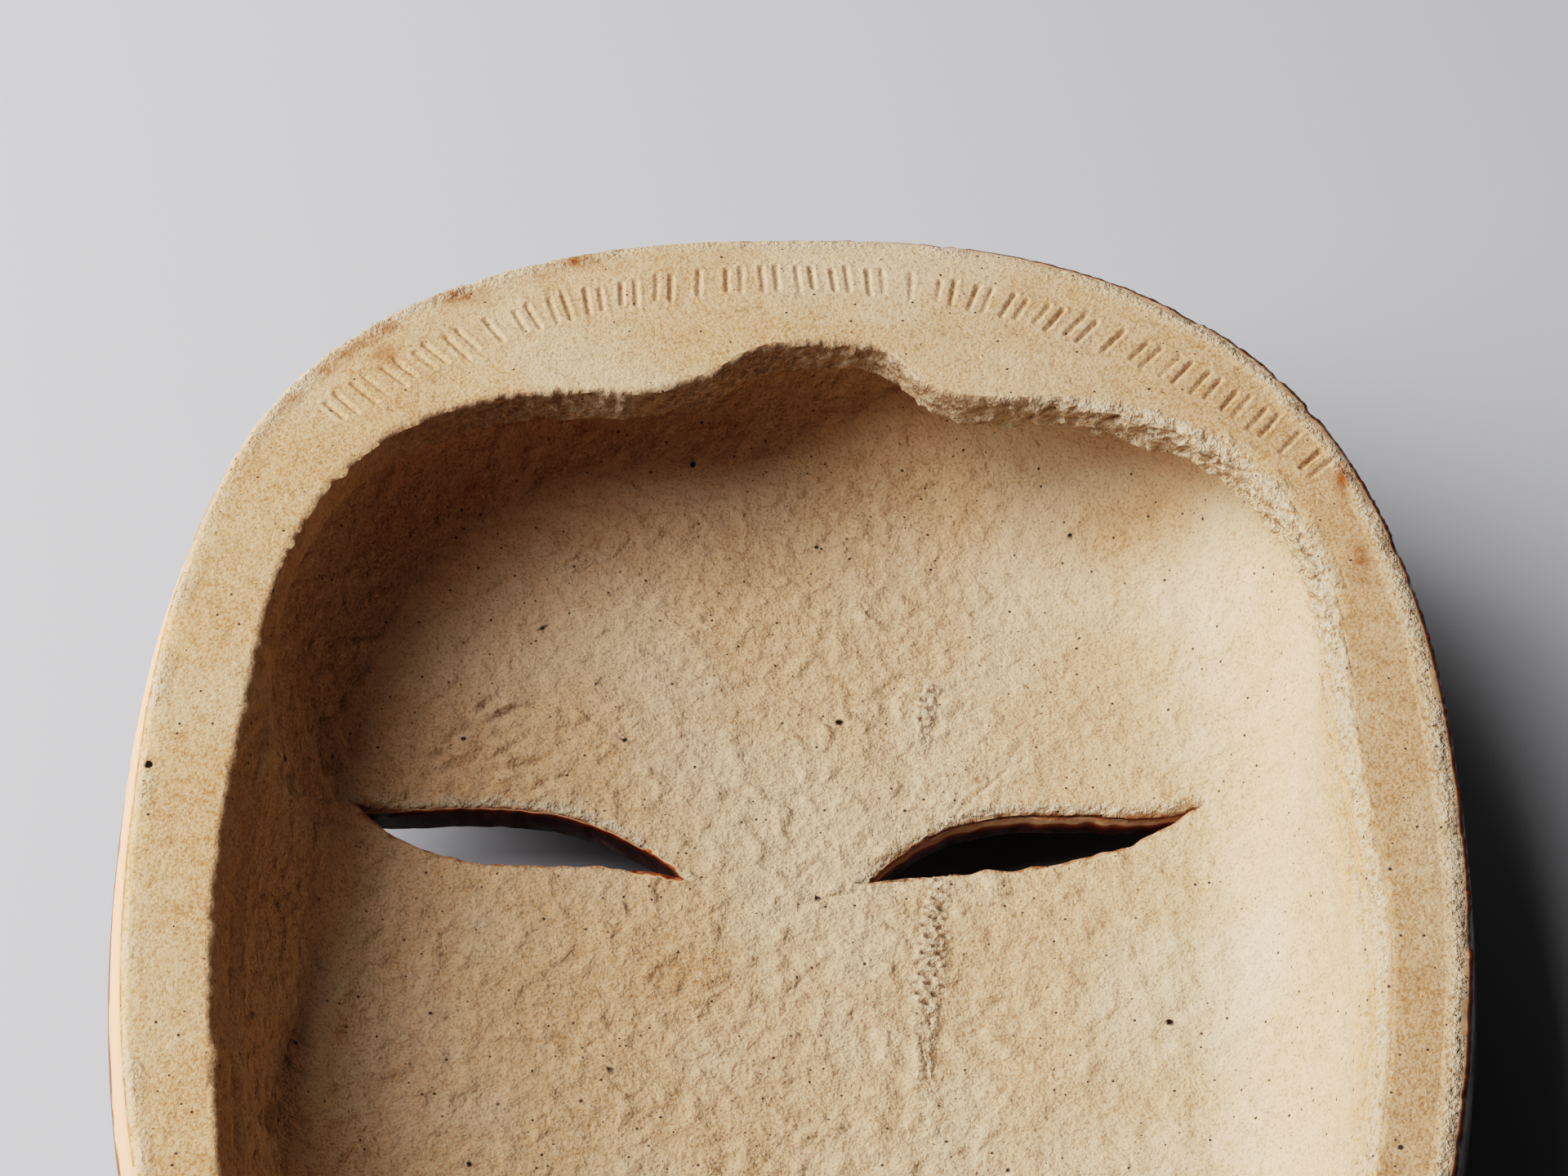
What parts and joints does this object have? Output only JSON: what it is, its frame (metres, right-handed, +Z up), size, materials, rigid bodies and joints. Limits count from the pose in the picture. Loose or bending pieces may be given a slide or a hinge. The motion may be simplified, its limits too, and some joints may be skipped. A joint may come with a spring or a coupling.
{
  "type": "ceramic wall mask",
  "caption": "Oval face mask in unglazed stoneware with a scooped hollow back, flat rim, nail notch and pierced eye slits, glazed on the front.",
  "frame": {"origin": "under the middle of the mask, on the surface that its brows and nose rest on", "axes": "+Z up out of the hollow back, +Y towards the crown of the head, +X to the right as seen from the back"},
  "size_m": [0.1782, 0.245, 0.052],
  "materials": {
    "stoneware": "unglazed coarse buff clay on the back, glossy dark red-brown glaze on the front"
  },
  "bodies": {
    "root": {"mask": "stoneware"}
  },
  "joints": []
}
